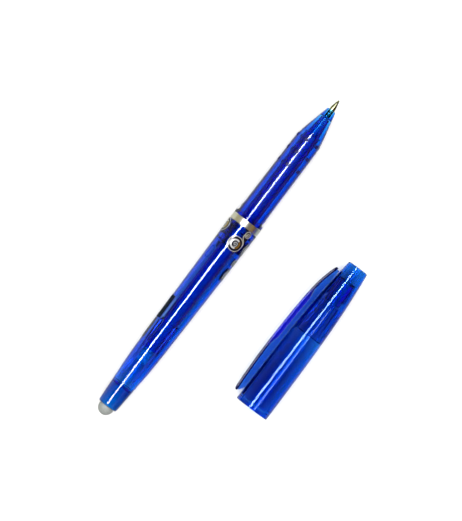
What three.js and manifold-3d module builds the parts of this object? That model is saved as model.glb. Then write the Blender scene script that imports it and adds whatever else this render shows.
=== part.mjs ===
// Capped gel pen with an eraser on its tail, in millimetres.
// +X runs from the eraser to the writing tip, +Z is up, and the pen and its cap lie side by side
// on the plane z = 0. The cap lies on the -Y side with its clip towards the pen.
import * as THREE from 'three';
import { mergeVertices } from 'three/addons/utils/BufferGeometryUtils.js';
import Module from 'manifold-3d';

// ---- driving dimensions -------------------------------------------------------------------
const SEGMENTS = 32; // facets round every turned piece
const CLEARANCE = 0.1; // between pieces that fit into each other
const EDGE = 0.15; // breaks on outer edges
const PRINT_GAP = 0.03; // between the barrel and a film on it
const FILM = 0.08; // thickness of foil and label film

// stations along the pen, measured from the end of the eraser
const BARREL_REAR = 3.4;
const BARREL_FRONT = 79.4;
const RING_FRONT = 82.0;
const COLLAR_FRONT = 83.2;
const SNAP_REAR = 85.1; // ridge that snaps into the cap's groove
const SNAP_FRONT = 85.7;
const GRIP_REAR = 86.3;
const GRIP_MIDDLE = 99.2;
const NOSE_START = 112.7;
const NOSE_END = 129.0;
const TIP_END = 133.02;
const BALL_CENTRE = 132.9;

// radii of the pen
const TAIL_R = 3.6;
const BARREL_MAX_R = 5.6;
const RING_R = 5.55;
const SECTION_R = 4.88;
const SNAP_R = 4.97;
const GRIP_REAR_R = 4.85;
const GRIP_MIDDLE_R = 4.76;
const NOSE_END_R = 1.58;
const REFILL_R = 2.95;
const INK_R = 2.3;
const POINT_R = 1.0;
const BALL_R = 0.25;
const ERASER_R = 2.75;
const STEM_R = 2.2; // of the eraser inside the tail plug
const FEED_R = 0.5; // ink channel through the tip holder and the point

// bore of the nose round the tip holder and the point
const NOSE_BORE_REAR = 118.6;
const NOSE_BORE_REAR_R = 2.4;
const NOSE_BORE_FRONT = 126.0;
const NOSE_BORE_FRONT_R = 1.75;

// plug in the tail, with a snap ring that sits in a groove of the barrel
const PLUG_REAR = 3.7;
const PLUG_FRONT = 12.4;
const PLUG_R = 2.95;
const PLUG_FLOOR = 9.4;
const SEAL_REAR = 11.3;
const SEAL_FRONT = 12.05;
const SEAL_R = 3.42;
const SEAL_PLAY = 0.05;
const TAIL_BORE_R = 3.15;

// screw thread between the front section and the barrel, right-handed with a round ridge
const THREAD_PITCH = 2.0;
const THREAD_REAR = 72.0;
const THREAD_TURNS = 3;
const SPIGOT_REAR = 70.6;
const SPIGOT_R = 4.1;
const RIDGE_R = 0.45;
const GROOVE_R = 0.62;
const SCREW_BORE_R = 4.25;

// grip dots on the front section
const DOT_STATIONS = [105.3, 110.5, 115.8];
const DOT_ROWS = 6;
const DOT_FIRST_ANGLE = -12;
const DOT_R = 0.85;
const DOT_HEIGHT = 0.22;

// guide ribs inside the rear of the barrel
const GUIDE_RIBS = 4;
const GUIDE_REAR = 13.0;
const GUIDE_FRONT = 39.0;
const GUIDE_INNER_R = 3.15;
const GUIDE_WIDTH = 0.8;

// cap, measured from its mouth
const CAP_LENGTH = 59.85;
const CAP_R = 6.25;
const CAP_BORE_R = 5.15;
const CAP_END_R = 3.85;
const CAP_STEP = 31.5;
const CAP_RIBS = 6;
const CAP_RIB_FIRST_ANGLE = 11;
const CAP_RIB_WIDTH = 0.8;
const CAP_GROOVE_FRONT = 1.5; // ring groove that takes the section's snap ridge
const CAP_GROOVE_REAR = 2.9;
const CAP_GROOVE_DEPTH = 0.12;
const CAP_GROOVE_EASE = 0.3;

// inner cap, measured from the cap's mouth
const LINER_FRONT = 44.8;
const LINER_SHOULDER = 46.6;
const LINER_FLOOR = 52.6;
const LINER_REAR = 54.4;
const LINER_LIP_R = 2.9;
const LINER_SHOULDER_R = 3.95;
const LINER_REAR_R = 3.4;
const LINER_BORE_R = 1.6;

// clip on the cap
const CLIP_FREE_END = 2.6;
const CLIP_ROOT = 55.6;
const CLIP_WIDTH = 4.2;
const CLIP_PLATE = 1.0;
const CLIP_WEB = 1.4;
const CLIP_GAP = 0.3;

// where the pen and the cap lie
const CAP_MOUTH = 32.06; // behind this station the cap's mouth lies beside the pen
const SIDE_BY_SIDE = 39.5; // between the two axes
const PEN_LENGTH = BALL_CENTRE + BALL_R;
const HALF_WIDTH = (SIDE_BY_SIDE + BARREL_MAX_R + CAP_R) / 2;

// ---- outlines -----------------------------------------------------------------------------
const at = (x, r) => new THREE.Vector2(x, r);

// smooth outer line of the barrel, from its tail to its front face
const BARREL_LINE = new THREE.SplineCurve([
  at(BARREL_REAR + 0.5, TAIL_R),
  at(13.0, 4.15),
  at(24.6, 4.83),
  at(47.6, 5.19),
  at(BARREL_FRONT, BARREL_MAX_R),
]).getPoints(16);

// smooth shoulder between the section's straight body and the cone of its nose
const SHOULDER_LINE = new THREE.QuadraticBezierCurve(
  at(NOSE_START, 4.68),
  at(115.9, 4.63),
  at(118.6, 4.05),
).getPoints(6);

// smooth outer line of the cap, from its mouth to its end
const CAP_LINE = new THREE.SplineCurve([
  at(0.3, CAP_R),
  at(20.8, 6.07),
  at(34.7, 5.7),
  at(46.9, 5.02),
  at(CAP_LENGTH - 0.5, CAP_END_R),
]).getPoints(16);

// outer edge of the clip, from its free end to its root
const CLIP_LINE = new THREE.SplineCurve([
  at(CLIP_FREE_END, 8.8),
  at(12.0, 9.25),
  at(23.0, 9.37),
  at(38.0, 8.95),
  at(48.0, 8.1),
  at(CLIP_ROOT, 6.3),
]).getPoints(20);

// radius of a line at a station, by straight interpolation
function radiusAt(line, x) {
  const next = line.findIndex((p) => p.x >= x);
  if (next < 1) return line[next < 0 ? line.length - 1 : 0].y;
  const a = line[next - 1];
  const b = line[next];
  return THREE.MathUtils.mapLinear(x, a.x, b.x, a.y, b.y);
}

// ---- solids -------------------------------------------------------------------------------
const wasm = await Module();
wasm.setup();

// a closed geometry as a manifold solid
function solidOf(geometry) {
  const bare = geometry.clone();
  bare.deleteAttribute('normal');
  bare.deleteAttribute('uv');
  const merged = mergeVertices(bare, 1e-4);
  const index = Array.from(merged.index.array);
  const kept = [];
  for (let i = 0; i < index.length; i += 3) {
    const [a, b, c] = index.slice(i, i + 3);
    if (a !== b && b !== c && c !== a) kept.push(a, b, c);
  }
  return new wasm.Manifold(new wasm.Mesh({
    numProp: 3,
    vertProperties: new Float32Array(merged.attributes.position.array),
    triVerts: new Uint32Array(kept),
  }));
}

// a manifold solid as a geometry
function geometryOf(solid) {
  const mesh = solid.getMesh();
  const geometry = new THREE.BufferGeometry();
  geometry.setAttribute('position', new THREE.BufferAttribute(mesh.vertProperties, 3));
  geometry.setIndex(new THREE.BufferAttribute(mesh.triVerts, 1));
  return geometry;
}

// a solid turned about the X axis from an outline of stations and radii
function turned(outline, segments = SEGMENTS) {
  const points = outline.map((p) => new THREE.Vector2(p.y, p.x));
  return new THREE.LatheGeometry(points, segments).rotateZ(-Math.PI / 2);
}

// a tube-like solid whose outline closes on itself: outer line forwards, bore line backwards
function sleeve(outer, bore) {
  return turned([...outer, ...bore, outer[0]]);
}

// a round bar along a right-handed helix about the X axis
function helixBar(rear, turns, radius, barRadius) {
  class Helix extends THREE.Curve {
    getPoint(t, target = new THREE.Vector3()) {
      const angle = t * turns * 2 * Math.PI;
      const x = rear + t * turns * THREAD_PITCH;
      return target.set(x, radius * Math.cos(angle), radius * Math.sin(angle));
    }
  }
  const section = new THREE.Shape().absarc(0, 0, barRadius, 0, 2 * Math.PI);
  return new THREE.ExtrudeGeometry(section, {
    steps: Math.round(turns * 14),
    extrudePath: new Helix(),
    curveSegments: 3,
  });
}

// turns a geometry about the X axis: angle 0 is up, and positive angles go towards -Y
function turnTo(geometry, degrees) {
  return geometry.rotateX(THREE.MathUtils.degToRad(degrees));
}

// a rib that runs along X: its side outline in X and radius, given a width across
function rib(outline, width) {
  const shape = new THREE.Shape(outline);
  const bar = new THREE.ExtrudeGeometry(shape, { depth: width, bevelEnabled: false });
  return bar.translate(0, 0, -width / 2).rotateX(Math.PI / 2);
}

// a round or long film patch that follows the barrel's outer surface
function filmPatch(station, degrees, halfLength, halfWidth) {
  const rings = [at(0, 0), at(0.5, 0), at(1, 0), at(1, FILM), at(0.5, FILM), at(0, FILM)];
  const disc = new THREE.LatheGeometry(rings, 16);
  const places = disc.attributes.position;
  const turn = THREE.MathUtils.degToRad(degrees);
  for (let i = 0; i < places.count; i += 1) {
    const x = station + places.getX(i) * halfLength;
    const radius = radiusAt(BARREL_LINE, x) + PRINT_GAP + places.getY(i);
    const angle = turn + (places.getZ(i) * halfWidth) / radius;
    places.setXYZ(i, x, -radius * Math.sin(angle), radius * Math.cos(angle));
  }
  return disc;
}

// ---- pieces of the pen --------------------------------------------------------------------
function eraser() {
  const length = 2.9; // of the dome
  const dome = new THREE.EllipseCurve(length, 0, length, ERASER_R, Math.PI, Math.PI / 2, true);
  const stemEnd = PLUG_FLOOR - 0.2;
  return turned([
    ...dome.getPoints(6),
    at(BARREL_REAR - CLEARANCE, ERASER_R),
    at(BARREL_REAR - CLEARANCE, STEM_R + 0.1),
    at(stemEnd, STEM_R),
    at(stemEnd, 0),
  ]);
}

function tailPlug() {
  const cupR = STEM_R + 0.1 + CLEARANCE;
  return turned([
    at(PLUG_REAR, cupR),
    at(PLUG_REAR, PLUG_R),
    at(SEAL_REAR, PLUG_R),
    at(SEAL_REAR, SEAL_R),
    at(SEAL_FRONT, SEAL_R),
    at(SEAL_FRONT, PLUG_R),
    at(PLUG_FRONT, PLUG_R),
    at(PLUG_FRONT, 0),
    at(PLUG_FLOOR, 0),
    at(PLUG_FLOOR, cupR),
    at(PLUG_REAR, cupR),
  ]);
}

function barrel() {
  const bore = [
    at(BARREL_FRONT, SCREW_BORE_R),
    at(SPIGOT_REAR - 1, SCREW_BORE_R),
    at(47.6, 4.2),
    at(29.0, 3.9),
    at(GUIDE_REAR, 3.3),
    at(PLUG_FRONT + CLEARANCE, TAIL_BORE_R),
    at(SEAL_FRONT + SEAL_PLAY, TAIL_BORE_R),
    at(SEAL_FRONT + SEAL_PLAY, SEAL_R + SEAL_PLAY),
    at(SEAL_REAR - SEAL_PLAY, SEAL_R + SEAL_PLAY),
    at(SEAL_REAR - SEAL_PLAY, TAIL_BORE_R),
    at(BARREL_REAR, TAIL_BORE_R),
  ];
  const shell = sleeve([at(BARREL_REAR, 3.25), ...BARREL_LINE], bore);
  const grooveTurns = THREAD_TURNS + 2;
  const groove = helixBar(THREAD_REAR - THREAD_PITCH, grooveTurns, SPIGOT_R, GROOVE_R);
  let body = solidOf(shell).subtract(solidOf(groove));
  const wall = radiusAt(BARREL_LINE, GUIDE_REAR) - 0.4;
  for (let k = 0; k < GUIDE_RIBS; k += 1) {
    const outline = [
      at(GUIDE_REAR, GUIDE_INNER_R),
      at(GUIDE_FRONT, GUIDE_INNER_R),
      at(GUIDE_FRONT, 4.5),
      at(GUIDE_REAR, wall),
    ];
    const guide = turnTo(rib(outline, GUIDE_WIDTH), 45 + (k * 360) / GUIDE_RIBS);
    body = body.add(solidOf(guide));
  }
  return geometryOf(body);
}

function trimRing() {
  const rear = BARREL_FRONT + CLEARANCE;
  const front = RING_FRONT - CLEARANCE;
  return sleeve(
    [
      at(rear, RING_R - EDGE),
      at(rear + EDGE, RING_R),
      at(front - EDGE, RING_R),
      at(front, RING_R - EDGE),
    ],
    [at(front, SPIGOT_R + CLEARANCE), at(rear, SPIGOT_R + CLEARANCE)],
  );
}

function frontSection() {
  const outer = [
    at(SPIGOT_REAR, SPIGOT_R - 0.3),
    at(SPIGOT_REAR + 0.3, SPIGOT_R),
    at(RING_FRONT, SPIGOT_R),
    at(RING_FRONT, RING_R),
    at(COLLAR_FRONT - EDGE, RING_R),
    at(COLLAR_FRONT, RING_R - EDGE),
    at(COLLAR_FRONT, SECTION_R + 0.12),
    at(COLLAR_FRONT + 0.4, SECTION_R),
    at(SNAP_REAR - 0.4, SECTION_R),
    at(SNAP_REAR, SNAP_R),
    at(SNAP_FRONT, SNAP_R),
    at(GRIP_REAR, GRIP_REAR_R),
    at(GRIP_MIDDLE, GRIP_MIDDLE_R),
    ...SHOULDER_LINE,
    at(NOSE_END - 0.1, NOSE_END_R + 0.02),
    at(NOSE_END, NOSE_END_R - 0.1),
  ];
  const bore = [
    at(NOSE_END, POINT_R + 0.15),
    at(NOSE_BORE_FRONT, POINT_R + 0.15),
    at(NOSE_BORE_FRONT, NOSE_BORE_FRONT_R),
    at(NOSE_BORE_REAR + 0.3, NOSE_BORE_REAR_R),
    at(NOSE_BORE_REAR, REFILL_R + CLEARANCE),
    at(SPIGOT_REAR, REFILL_R + CLEARANCE),
  ];
  const ridge = helixBar(THREAD_REAR, THREAD_TURNS, SPIGOT_R, RIDGE_R);
  const grip = [at(GRIP_MIDDLE, GRIP_MIDDLE_R), ...SHOULDER_LINE];
  let body = solidOf(sleeve(outer, bore)).add(solidOf(ridge));
  for (let row = 0; row < DOT_ROWS; row += 1) {
    for (const station of DOT_STATIONS) {
      const dot = new THREE.SphereGeometry(DOT_R, 8, 4).scale(1, 1, DOT_HEIGHT / DOT_R);
      const surface = radiusAt(grip, station);
      dot.translate(station, 0, surface - 0.02);
      const angle = DOT_FIRST_ANGLE + (row * 360) / DOT_ROWS;
      body = body.add(solidOf(turnTo(dot, angle)));
    }
  }
  return geometryOf(body);
}

// ---- pieces of the refill -----------------------------------------------------------------
const REFILL_REAR = 21.9;
const TUBE_REAR = 24.0;
const NECK_FRONT = 26.3; // of the refill plug inside the tube
const FOLLOWER_REAR = 26.5;
const INK_REAR = 30.0;
const INK_FRONT = 113.3;
const HOLDER_REAR = 113.5;
const TUBE_FRONT = 118.4;
const HOLDER_FLOOR = 121.0; // the point stands on it
const POINT_REAR = 121.2;
const HOLDER_FRONT = 125.4;
const POINT_CONE = 130.3;

function refillPlug() {
  const hole = 0.5;
  return sleeve(
    [
      at(REFILL_REAR, REFILL_R - 0.4),
      at(REFILL_REAR + 0.4, REFILL_R),
      at(TUBE_REAR - 0.05, REFILL_R),
      at(TUBE_REAR - 0.05, INK_R),
      at(NECK_FRONT, INK_R - 0.1),
    ],
    [at(NECK_FRONT, hole), at(REFILL_REAR, hole)],
  );
}

function refillTube() {
  return sleeve(
    [at(TUBE_REAR, REFILL_R), at(TUBE_FRONT, REFILL_R)],
    [at(TUBE_FRONT, INK_R + CLEARANCE), at(TUBE_REAR, INK_R + CLEARANCE)],
  );
}

function inkFollower() {
  const front = INK_REAR - CLEARANCE;
  return turned([at(FOLLOWER_REAR, 0), at(FOLLOWER_REAR, INK_R), at(front, INK_R), at(front, 0)]);
}

function inkColumn() {
  return turned([at(INK_REAR, 0), at(INK_REAR, INK_R), at(INK_FRONT, INK_R), at(INK_FRONT, 0)]);
}

function tipHolder() {
  return sleeve(
    [
      at(HOLDER_REAR, INK_R - 0.15),
      at(HOLDER_REAR + 0.5, INK_R),
      at(TUBE_FRONT + 0.05, INK_R),
      at(HOLDER_FRONT, 1.55),
    ],
    [
      at(HOLDER_FRONT, POINT_R + 0.05),
      at(HOLDER_FLOOR, POINT_R + 0.05),
      at(HOLDER_FLOOR, FEED_R),
      at(HOLDER_REAR, FEED_R),
    ],
  );
}

function penPoint() {
  const seat = BALL_R + 0.05;
  const feed = 0.15; // narrow channel behind the ball
  const seatRear = BALL_CENTRE - BALL_R - 0.03;
  return sleeve(
    [
      at(POINT_REAR, POINT_R),
      at(POINT_CONE - 0.3, POINT_R),
      at(POINT_CONE, POINT_R - 0.06),
      at(TIP_END - 0.2, 0.38),
      at(TIP_END, 0.31),
    ],
    [
      at(TIP_END, BALL_R - 0.015),
      at(BALL_CENTRE, seat),
      at(seatRear, seat),
      at(seatRear, feed),
      at(POINT_CONE + 1.1, feed),
      at(POINT_CONE + 0.7, FEED_R),
      at(POINT_REAR, FEED_R),
    ],
  );
}

function writingBall() {
  return new THREE.SphereGeometry(BALL_R, 16, 12).translate(BALL_CENTRE, 0, 0);
}

// ---- pieces of the cap --------------------------------------------------------------------
function capShell() {
  const bore = [
    at(CAP_LENGTH, CAP_END_R - 0.75),
    at(LINER_REAR + 0.3, 3.45),
    at(LINER_REAR, 3.5),
    at(46.9, 4.05),
    at(40.8, 4.4),
    at(CAP_STEP + 0.4, 4.8),
    at(CAP_STEP, CAP_BORE_R),
    at(CAP_GROOVE_REAR, CAP_BORE_R),
    at(CAP_GROOVE_REAR - CAP_GROOVE_EASE, CAP_BORE_R + CAP_GROOVE_DEPTH),
    at(CAP_GROOVE_FRONT + CAP_GROOVE_EASE, CAP_BORE_R + CAP_GROOVE_DEPTH),
    at(CAP_GROOVE_FRONT, CAP_BORE_R),
    at(0, CAP_BORE_R),
  ];
  const outer = [at(0, CAP_R - EDGE), ...CAP_LINE, at(CAP_LENGTH, CAP_END_R - 0.3)];
  let body = solidOf(sleeve(outer, bore));
  for (let k = 0; k < CAP_RIBS; k += 1) {
    const outline = [
      at(CAP_STEP, 4.72),
      at(36.0, 4.15),
      at(LINER_FRONT - 0.6, 3.5),
      at(LINER_FRONT - 0.6, 4.5),
      at(CAP_STEP, 5.2),
    ];
    const angle = CAP_RIB_FIRST_ANGLE + (k * 360) / CAP_RIBS;
    body = body.add(solidOf(turnTo(rib(outline, CAP_RIB_WIDTH), angle)));
  }
  return geometryOf(body);
}

function innerCap() {
  const rear = LINER_REAR - 0.2;
  return turned([
    at(LINER_FRONT, LINER_BORE_R + 0.5),
    at(LINER_FRONT, LINER_LIP_R),
    at(LINER_SHOULDER, LINER_LIP_R),
    at(LINER_SHOULDER, LINER_SHOULDER_R),
    at(rear, LINER_REAR_R),
    at(rear, 0),
    at(LINER_FLOOR, 0),
    at(LINER_FLOOR, LINER_BORE_R),
    at(LINER_FRONT + 1.2, LINER_BORE_R),
    at(LINER_FRONT, LINER_BORE_R + 0.5),
  ]);
}

function clip() {
  const inner = CLIP_LINE.map((p) => at(p.x, p.y - CLIP_PLATE)).reverse();
  const root = new THREE.QuadraticBezierCurve(
    at(CLIP_ROOT, 6.3),
    at(CLIP_ROOT + 0.4, 5.6),
    at(CLIP_ROOT, 5.3),
  );
  const free = new THREE.QuadraticBezierCurve(
    at(CLIP_FREE_END, 7.8),
    at(CLIP_FREE_END - 0.7, 8.2),
    at(CLIP_FREE_END, 8.8),
  );
  const webRear = 6.5;
  const webFront = CLIP_ROOT - 1.3;
  const plateShape = new THREE.Shape([
    ...CLIP_LINE,
    ...root.getPoints(4).slice(1, -1),
    ...inner,
    ...free.getPoints(4).slice(1, -1),
  ]);
  const under = CAP_LINE.filter((p) => p.x > webRear && p.x < webFront)
    .map((p) => at(p.x, p.y + CLIP_GAP));
  const webShape = new THREE.Shape([
    at(CLIP_FREE_END + 0.4, 8.3),
    at(CLIP_FREE_END + 0.8, 7.5),
    at(webRear, CAP_R + CLIP_GAP + 0.05),
    ...under,
    at(webFront, radiusAt(CAP_LINE, webFront) + CLIP_GAP),
    at(webFront + 0.4, 5.9),
    ...CLIP_LINE.filter((p) => p.x > CLIP_FREE_END + 1.4 && p.x < webFront)
      .map((p) => at(p.x, p.y - CLIP_PLATE / 2))
      .reverse(),
  ]);
  const plate = new THREE.ExtrudeGeometry(plateShape, { depth: CLIP_WIDTH, bevelEnabled: false });
  const web = new THREE.ExtrudeGeometry(webShape, { depth: CLIP_WEB, bevelEnabled: false });
  plate.translate(0, 0, -CLIP_WIDTH / 2);
  web.translate(0, 0, -CLIP_WEB / 2);
  return geometryOf(solidOf(plate).add(solidOf(web)));
}

// ---- materials ----------------------------------------------------------------------------
function material(color, roughness, metalness = 0, opacity = 1) {
  return new THREE.MeshStandardMaterial({
    color, roughness, metalness, opacity, transparent: opacity < 1,
  });
}
const clearBlue = () => material(0x1e5ac8, 0.08, 0, 0.55);
const deepBlue = () => material(0x0a1e96, 0.1, 0, 0.7);
const solidBlue = () => material(0x0000a0, 0.3);
const clearPlastic = () => material(0xdce6f0, 0.1, 0, 0.4);
const silver = () => material(0xd4cec3, 0.2, 1);
const greyRubber = () => material(0xafb4b4, 0.7);
const labelInk = () => material(0x0a0f32, 0.5);

// ---- assembly -----------------------------------------------------------------------------
function node(name, geometry, finish) {
  const mesh = new THREE.Mesh(geometry, finish);
  mesh.name = name;
  return mesh;
}

const pen = new THREE.Group();
pen.position.set(-PEN_LENGTH / 2, HALF_WIDTH - BARREL_MAX_R, BARREL_MAX_R);
pen.add(
  node('barrel', barrel(), clearBlue()),
  node('tail_plug', tailPlug(), clearBlue()),
  node('eraser', eraser(), greyRubber()),
  node('trim_ring', trimRing(), silver()),
  node('front_section', frontSection(), clearBlue()),
  node('refill_tube', refillTube(), clearPlastic()),
  node('refill_plug', refillPlug(), clearPlastic()),
  node('ink_follower', inkFollower(), clearPlastic()),
  node('ink_column', inkColumn(), solidBlue()),
  node('tip_holder', tipHolder(), solidBlue()),
  node('pen_point', penPoint(), silver()),
  node('writing_ball', writingBall(), silver()),
  node('label_film', filmPatch(38.0, -88, 8.7, 1.5), labelInk()),
);

// foil transfers near the ring: station, angle and radius of each
const FOILS = [
  [73.0, 10, 2.7],
  [77.3, 40, 1.4],
  [76.2, -70, 2.4],
  [72.6, 82, 2.4],
  [66.8, 76, 1.9],
  [62.2, 84, 1.4],
  [74.0, 148, 2.0],
  [70.5, -135, 2.0],
];
FOILS.forEach(([station, degrees, radius], k) => {
  pen.add(node(`foil_spiral_${k + 1}`, filmPatch(station, degrees, radius, radius), silver()));
});

const cap = new THREE.Group();
cap.position.set(CAP_MOUTH - PEN_LENGTH / 2, CAP_R - HALF_WIDTH, CAP_R);
cap.add(
  node('cap_shell', capShell(), clearBlue()),
  node('inner_cap', innerCap(), deepBlue()),
  node('clip', clip(), deepBlue()),
);

const gelPen = new THREE.Group();
gelPen.add(pen, cap);
export default gelPen;
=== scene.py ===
"""Looks of a translucent blue gel pen that lies uncapped beside its cap.

Stations run along +X in millimetres: along the pen from the end of its eraser, and along the cap
from its mouth. Angle 0 round a piece is up, and positive angles go towards the cap's side, -Y.
"""
import math

import bmesh
import bpy
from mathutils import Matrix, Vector


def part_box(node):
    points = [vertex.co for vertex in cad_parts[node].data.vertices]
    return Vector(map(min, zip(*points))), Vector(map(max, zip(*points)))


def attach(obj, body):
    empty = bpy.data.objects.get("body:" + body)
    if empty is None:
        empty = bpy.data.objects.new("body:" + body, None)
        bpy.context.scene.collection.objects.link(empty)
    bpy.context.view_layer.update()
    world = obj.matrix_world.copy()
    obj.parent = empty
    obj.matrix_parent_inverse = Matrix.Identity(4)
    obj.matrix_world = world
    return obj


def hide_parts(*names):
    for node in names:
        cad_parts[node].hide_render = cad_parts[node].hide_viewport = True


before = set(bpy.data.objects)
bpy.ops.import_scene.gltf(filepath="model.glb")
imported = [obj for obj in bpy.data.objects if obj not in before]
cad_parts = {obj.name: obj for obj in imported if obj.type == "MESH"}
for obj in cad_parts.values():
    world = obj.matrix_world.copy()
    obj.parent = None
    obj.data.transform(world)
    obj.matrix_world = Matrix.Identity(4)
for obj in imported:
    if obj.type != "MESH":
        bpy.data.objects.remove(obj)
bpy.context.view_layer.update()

MM = 0.001
AROUND = 160  # points round a turned piece
PLAIN_AROUND = 96  # points round a smaller piece
INNER_AROUND = 64  # points round a piece inside the refill
ON_AXIS = 1e-6  # any smaller radius lies on the axis
CORNER_SHARE = 0.45  # largest share of a side that rounding one corner may take

# ---- places taken from the frame -----------------------------------------------------------
ring_low, ring_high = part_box("trim_ring")
PEN = Vector((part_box("eraser")[0].x,
              (ring_low.y + ring_high.y) / 2,
              (ring_low.z + ring_high.z) / 2))
shell_low, shell_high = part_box("cap_shell")
CAP = Vector((shell_low.x,
              (shell_low.y + shell_high.y) / 2,
              (shell_low.z + shell_high.z) / 2))
CAP_LENGTH = (shell_high.x - shell_low.x) / MM

# ---- outlines in millimetres, as in the CAD part, each a list of (station, radius) -----------
BARREL_REAR = 3.4
BARREL_FRONT = 79.4
BARREL_R = 5.6  # at its front end
RING_FRONT = 82.0
COLLAR_FRONT = 83.2
SPIGOT_REAR = 70.6
SPIGOT_R = 4.1
RING_R = 5.55
SCREW_BORE_R = 4.25
THREAD_PITCH = 2.0
THREAD_REAR = 72.0
THREAD_LENGTH = 6.0
THREAD_STEP = 0.15  # between the rings of points that carry the thread
THREAD_START = 90  # degrees
THREAD_SHARPNESS = 3.0
BARREL_THREAD = 0.45  # depth of the thread in the barrel
OUTER_SKIN = 0.5  # a point this close under the outline belongs to the outside
CONTACT = 0.02  # overlap of an opaque filling and the clear wall round it
REFILL_R = 2.95
INK_R = 2.8  # as the thick tube magnifies it
TAIL_BORE_R = 3.15
SEAL_REAR = 11.3
SEAL_FRONT = 12.05
SEAL_R = 3.42
POINT_R = 1.0
BALL_R = 0.25
BALL_CENTRE = 132.9
FOIL_LIFT = 0.03
FOIL = 0.05  # usual thickness of a film
SPIRAL_STEPS = 28  # points to a turn
ARC_STEP = 9  # degrees
LABEL_SIDE = -88  # degrees round the barrel
LABEL_MIDDLE = 38.0


def spline(points, steps):
    """A uniform Catmull-Rom curve through the points."""
    found = []
    spans = len(points) - 1
    for k in range(steps + 1):
        where = spans * k / steps
        i = min(int(where), spans - 1)
        t = where - i
        a, b, c, d = (points[min(max(i + n, 0), spans)] for n in (-1, 0, 1, 2))
        found.append(tuple(
            0.5 * (2 * b[n] + (c[n] - a[n]) * t
                   + (2 * a[n] - 5 * b[n] + 4 * c[n] - d[n]) * t ** 2
                   + (3 * b[n] - a[n] - 3 * c[n] + d[n]) * t ** 3)
            for n in (0, 1)))
    return found


def bezier(a, b, c, steps):
    """A quadratic curve from a to c that leaves and arrives towards b."""
    found = []
    for k in range(steps + 1):
        t = k / steps
        found.append(tuple((1 - t) ** 2 * a[n] + 2 * t * (1 - t) * b[n] + t * t * c[n]
                           for n in (0, 1)))
    return found


def stepped(start, end, step):
    """Points along a straight line between two (station, radius), about step apart."""
    count = max(1, round((end[0] - start[0]) / step))
    return [(start[0] + (end[0] - start[0]) * k / count,
             start[1] + (end[1] - start[1]) * k / count) for k in range(count + 1)]


def eased(points, radius=0.12, steps=3):
    """The open line with each of its inner corners rounded off."""
    found = [points[0]]
    for a, b, c in zip(points, points[1:], points[2:]):
        back = math.dist(a, b)
        on = math.dist(b, c)
        cut = min(radius, back * CORNER_SHARE, on * CORNER_SHARE)
        start = tuple(b[n] + (a[n] - b[n]) * cut / back for n in (0, 1))
        end = tuple(b[n] + (c[n] - b[n]) * cut / on for n in (0, 1))
        found += bezier(start, b, end, steps)
    return found + [points[-1]]


def radius_at(line, x):
    """Radius of an outline at a station, by straight interpolation."""
    for a, b in zip(line, line[1:]):
        if a[0] <= x <= b[0]:
            return a[1] + (b[1] - a[1]) * (x - a[0]) / max(b[0] - a[0], ON_AXIS)
    return line[0][1] if x < line[0][0] else line[-1][1]


BARREL_LINE = spline([(3.9, 3.6), (13.0, 4.15), (24.6, 4.83), (47.6, 5.19),
                      (BARREL_FRONT, BARREL_R)], 60)
CAP_LINE = spline([(0.3, 6.25), (20.8, 6.07), (34.7, 5.7), (46.9, 5.02), (59.35, 3.85)], 48)
CLIP_LINE = spline([(2.6, 8.8), (12.0, 9.25), (23.0, 9.37), (38.0, 8.95), (48.0, 8.1),
                    (55.6, 6.3)], 48)


# ---- mesh makers ----------------------------------------------------------------------------
def new_object(name, points, faces, smooth=30):
    """A mesh object in metres, shaded smooth apart from edges sharper than smooth degrees."""
    mesh = bpy.data.meshes.new(name)
    mesh.from_pydata([tuple(p) for p in points], [], faces)
    mesh.validate()
    solid_mesh = bmesh.new()
    solid_mesh.from_mesh(mesh)
    bmesh.ops.recalc_face_normals(solid_mesh, faces=solid_mesh.faces)
    solid_mesh.to_mesh(mesh)
    solid_mesh.free()
    mesh.shade_smooth()
    mesh.set_sharp_from_angle(angle=math.radians(smooth))
    thing = bpy.data.objects.new(name, mesh)
    bpy.context.scene.collection.objects.link(thing)
    weighted = thing.modifiers.new("weighted", "WEIGHTED_NORMAL")
    weighted.keep_sharp = True
    weighted.weight = 100
    return thing


def round_point(place, x, radius, angle):
    """The point at a station, radius and angle in degrees round an axis along X."""
    turn = math.radians(angle)
    return place + Vector((x, -radius * math.sin(turn), radius * math.cos(turn))) * MM


def turned(name, place, outline, shape=None, around=AROUND):
    """A solid turned about the axis through place.

    An outline that starts and ends on the axis is closed there, and any other closes on itself.
    shape(x, radius, angle) may change the radius of a point.
    """
    points, rings, faces = [], [], []
    for x, radius in outline:
        if radius < ON_AXIS:
            rings.append([len(points)])
            points.append(round_point(place, x, 0, 0))
            continue
        ring = []
        for k in range(around):
            angle = 360 * k / around
            reach = shape(x, radius, angle) if shape else radius
            ring.append(len(points))
            points.append(round_point(place, x, reach, angle))
        rings.append(ring)
    pairs = list(zip(rings, rings[1:]))
    if len(rings[0]) > 1:
        pairs.append((rings[-1], rings[0]))
    for a, b in pairs:
        for k in range(around):
            n = (k + 1) % around
            if len(a) == 1 and len(b) == 1:
                break
            if len(a) == 1:
                faces.append((a[0], b[n], b[k]))
            elif len(b) == 1:
                faces.append((a[k], a[n], b[0]))
            else:
                faces.append((a[k], a[n], b[n], b[k]))
    return new_object(name, points, faces)


def on_barrel(x, across, lift):
    """The point over the barrel at a station and a distance round it from the top."""
    radius = radius_at(BARREL_LINE, x)
    angle = math.degrees(across / radius)
    return round_point(PEN, x, radius + lift, angle)


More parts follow.
